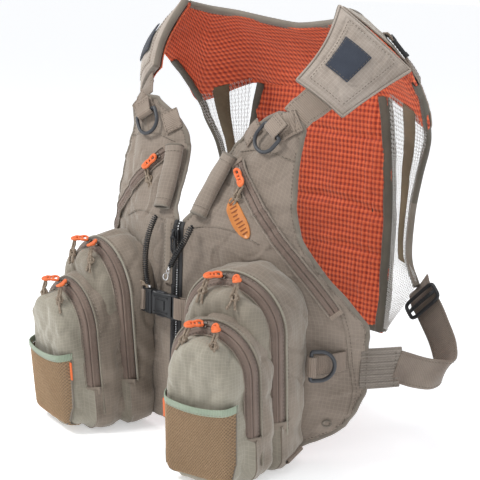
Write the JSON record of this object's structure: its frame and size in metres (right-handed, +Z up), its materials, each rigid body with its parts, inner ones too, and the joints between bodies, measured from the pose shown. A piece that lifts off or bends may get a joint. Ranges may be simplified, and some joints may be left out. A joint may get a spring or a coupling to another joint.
{
  "type": "fishing vest",
  "caption": "Chest-pack fishing vest: zipped front panels with arched box pockets, padded shoulders, mesh-lined padded back, side belt straps, D-rings and a front buckle.",
  "frame": {"origin": "middle of the neck opening, level with the shoulders that carry the vest", "axes": "+Z up, the wearer faces -Y, the wearer's left side is +X"},
  "size_m": [0.5286, 0.3864, 0.513],
  "materials": {
    "shell_fabric": "ripstop weave, matt",
    "zip_tape": "reverse coil tape, matt",
    "centre_zip_teeth": "moulded teeth, satin",
    "webbing": "twill webbing, satin",
    "ribbed_elastic": "ribbed, matt",
    "zip_pull": "moulded, satin",
    "bronze_mesh": "open hexagon mesh",
    "black_plastic": "moulded acetal, satin",
    "orange_mesh": "spacer mesh, matt",
    "foam": "closed-cell foam, matt",
    "hook_pile": "hook tape, matt",
    "pale_netting": "fine netting, matt",
    "binding": "grosgrain binding, matt",
    "coil_cord": "coiled cord, gloss",
    "clip_metal": "plated steel"
  },
  "bodies": {
    "back": {"back_shells": "shell_fabric", "mesh_linings": "orange_mesh", "foam_cores": "foam", "shoulder_covers": "shell_fabric", "hook_patches": "hook_pile", "side_netting": "pale_netting", "edge_bindings": "binding", "back_webbing": "webbing"},
    "left_front": {"left_front_panel": "shell_fabric", "left_zip_tapes": "zip_tape", "left_lanyard_tunnel": "shell_fabric", "left_web_tabs": "webbing", "left_belt_tab": "ribbed_elastic", "left_large_gusset": "shell_fabric", "left_centre_zip": "centre_zip_teeth", "left_lanyard": "coil_cord", "lanyard_clip": "clip_metal"},
    "left_large_flap": {"left_large_face": "shell_fabric", "left_large_face_zip": "zip_tape", "left_small_gusset": "shell_fabric", "left_small_gusset_zip": "zip_tape"},
    "left_small_flap": {"left_small_face": "shell_fabric", "left_small_face_zip": "zip_tape", "left_mesh_pouch": "bronze_mesh"},
    "left_large_slider_inner": {"left_large_slider_inner": "zip_pull"},
    "left_large_slider_outer": {"left_large_slider_outer": "zip_pull"},
    "left_small_slider_inner": {"left_small_slider_inner": "zip_pull"},
    "left_small_slider_outer": {"left_small_slider_outer": "zip_pull"},
    "left_chest_slider": {"left_chest_slider": "zip_pull"},
    "left_chest_ring": {"left_chest_ring": "black_plastic"},
    "left_side_ring": {"left_side_ring": "black_plastic"},
    "left_triglide": {"left_triglide": "black_plastic"},
    "right_front": {"right_front_panel": "shell_fabric", "right_zip_tapes": "zip_tape", "right_lanyard_tunnel": "shell_fabric", "right_web_tabs": "webbing", "right_belt_tab": "ribbed_elastic", "right_large_gusset": "shell_fabric", "right_centre_zip": "centre_zip_teeth", "right_lanyard": "coil_cord", "buckle_plug": "black_plastic"},
    "right_large_flap": {"right_large_face": "shell_fabric", "right_large_face_zip": "zip_tape", "right_small_gusset": "shell_fabric", "right_small_gusset_zip": "zip_tape"},
    "right_small_flap": {"right_small_face": "shell_fabric", "right_small_face_zip": "zip_tape", "right_mesh_pouch": "bronze_mesh"},
    "right_large_slider_inner": {"right_large_slider_inner": "zip_pull"},
    "right_large_slider_outer": {"right_large_slider_outer": "zip_pull"},
    "right_small_slider_inner": {"right_small_slider_inner": "zip_pull"},
    "right_small_slider_outer": {"right_small_slider_outer": "zip_pull"},
    "right_chest_slider": {"right_chest_slider": "zip_pull"},
    "right_chest_ring": {"right_chest_ring": "black_plastic"},
    "right_side_ring": {"right_side_ring": "black_plastic"},
    "right_triglide": {"right_triglide": "black_plastic"},
    "centre_slider": {"centre_zip_slider": "zip_pull"},
    "buckle_socket": {"buckle_socket": "black_plastic"}
  },
  "joints": [
    {"name": "left_front_swing", "type": "hinge", "parent": "back", "child": "left_front", "pos_m": [0.117, -0.097, -0.077], "axis": [-0.3466, -0.2434, 0.9059], "range_deg": [0, 60]},
    {"name": "left_large_pocket_open", "type": "hinge", "parent": "left_front", "child": "left_large_flap", "pos_m": [0.10501, -0.16784, -0.477], "axis": [0.9781, 0.2079, 0], "range_deg": [0, 25]},
    {"name": "left_small_pocket_open", "type": "hinge", "parent": "left_large_flap", "child": "left_small_flap", "pos_m": [0.11416, -0.21089, -0.47884], "axis": [0.9781, 0.2079, 0], "range_deg": [0, 30]},
    {"name": "left_large_slider_inner_run", "type": "hinge", "parent": "left_large_flap", "child": "left_large_slider_inner", "pos_m": [0.10794, -0.18161, -0.31612], "axis": [0.2071, -0.9744, -0.0872], "range_deg": [0, 75]},
    {"name": "left_large_slider_outer_run", "type": "hinge", "parent": "left_large_flap", "child": "left_large_slider_outer", "pos_m": [0.10794, -0.18161, -0.31612], "axis": [-0.2071, 0.9744, 0.0872], "range_deg": [0, 75]},
    {"name": "left_small_slider_inner_run", "type": "hinge", "parent": "left_small_flap", "child": "left_small_slider_inner", "pos_m": [0.11646, -0.22171, -0.35233], "axis": [0.2071, -0.9744, -0.0872], "range_deg": [0, 75]},
    {"name": "left_small_slider_outer_run", "type": "hinge", "parent": "left_small_flap", "child": "left_small_slider_outer", "pos_m": [0.11646, -0.22171, -0.35233], "axis": [-0.2071, 0.9744, 0.0872], "range_deg": [0, 75]},
    {"name": "left_chest_slider_run", "type": "hinge", "parent": "left_front", "child": "left_chest_slider", "pos_m": [0.0583, 0.07277, -0.23621], "axis": [0.7313, 0.2847, 0.6198], "range_deg": [0, 46]},
    {"name": "left_chest_ring_lift", "type": "hinge", "parent": "left_front", "child": "left_chest_ring", "pos_m": [0.09956, -0.11221, -0.10456], "axis": [-0.8263, 0.1656, 0.5384], "range_deg": [0, 110]},
    {"name": "left_side_ring_turn", "type": "hinge", "parent": "left_front", "child": "left_side_ring", "pos_m": [0.17273, -0.11716, -0.36], "axis": [0, 0, -1], "range_deg": [0, 100]},
    {"name": "left_triglide_slide", "type": "slide", "parent": "back", "child": "left_triglide", "axis": [0.7337, -0.3424, -0.5869], "range_m": [-0.004, 0.01]},
    {"name": "right_front_swing", "type": "hinge", "parent": "back", "child": "right_front", "pos_m": [-0.117, -0.097, -0.077], "axis": [-0.3466, 0.2434, -0.9059], "range_deg": [0, 60]},
    {"name": "right_large_pocket_open", "type": "hinge", "parent": "right_front", "child": "right_large_flap", "pos_m": [-0.10501, -0.16784, -0.477], "axis": [0.9781, -0.2079, 0], "range_deg": [0, 25]},
    {"name": "right_small_pocket_open", "type": "hinge", "parent": "right_large_flap", "child": "right_small_flap", "pos_m": [-0.11416, -0.21089, -0.47884], "axis": [0.9781, -0.2079, 0], "range_deg": [0, 30]},
    {"name": "right_large_slider_inner_run", "type": "hinge", "parent": "right_large_flap", "child": "right_large_slider_inner", "pos_m": [-0.10794, -0.18161, -0.31612], "axis": [0.2071, 0.9744, 0.0872], "range_deg": [0, 75]},
    {"name": "right_large_slider_outer_run", "type": "hinge", "parent": "right_large_flap", "child": "right_large_slider_outer", "pos_m": [-0.10794, -0.18161, -0.31612], "axis": [-0.2071, -0.9744, -0.0872], "range_deg": [0, 75]},
    {"name": "right_small_slider_inner_run", "type": "hinge", "parent": "right_small_flap", "child": "right_small_slider_inner", "pos_m": [-0.11646, -0.22171, -0.35233], "axis": [0.2071, 0.9744, 0.0872], "range_deg": [0, 75]},
    {"name": "right_small_slider_outer_run", "type": "hinge", "parent": "right_small_flap", "child": "right_small_slider_outer", "pos_m": [-0.11646, -0.22171, -0.35233], "axis": [-0.2071, -0.9744, -0.0872], "range_deg": [0, 75]},
    {"name": "right_chest_slider_run", "type": "hinge", "parent": "right_front", "child": "right_chest_slider", "pos_m": [-0.0583, 0.07277, -0.23621], "axis": [0.7313, -0.2847, -0.6198], "range_deg": [0, 46]},
    {"name": "right_chest_ring_lift", "type": "hinge", "parent": "right_front", "child": "right_chest_ring", "pos_m": [-0.09956, -0.11221, -0.10456], "axis": [-0.8263, -0.1656, -0.5384], "range_deg": [0, 110]},
    {"name": "right_side_ring_turn", "type": "hinge", "parent": "right_front", "child": "right_side_ring", "pos_m": [-0.17273, -0.11716, -0.36], "axis": [0, 0, 1], "range_deg": [0, 100]},
    {"name": "right_triglide_slide", "type": "slide", "parent": "back", "child": "right_triglide", "axis": [-0.7337, -0.3424, -0.5869], "range_m": [-0.004, 0.01]},
    {"name": "centre_slider_run", "type": "slide", "parent": "right_front", "child": "centre_slider", "axis": [0, 0, -1], "range_m": [0, 0.09]},
    {"name": "buckle_release", "type": "slide", "parent": "left_front", "child": "buckle_socket", "axis": [1, 0, 0], "range_m": [0, 0.022]}
  ]
}
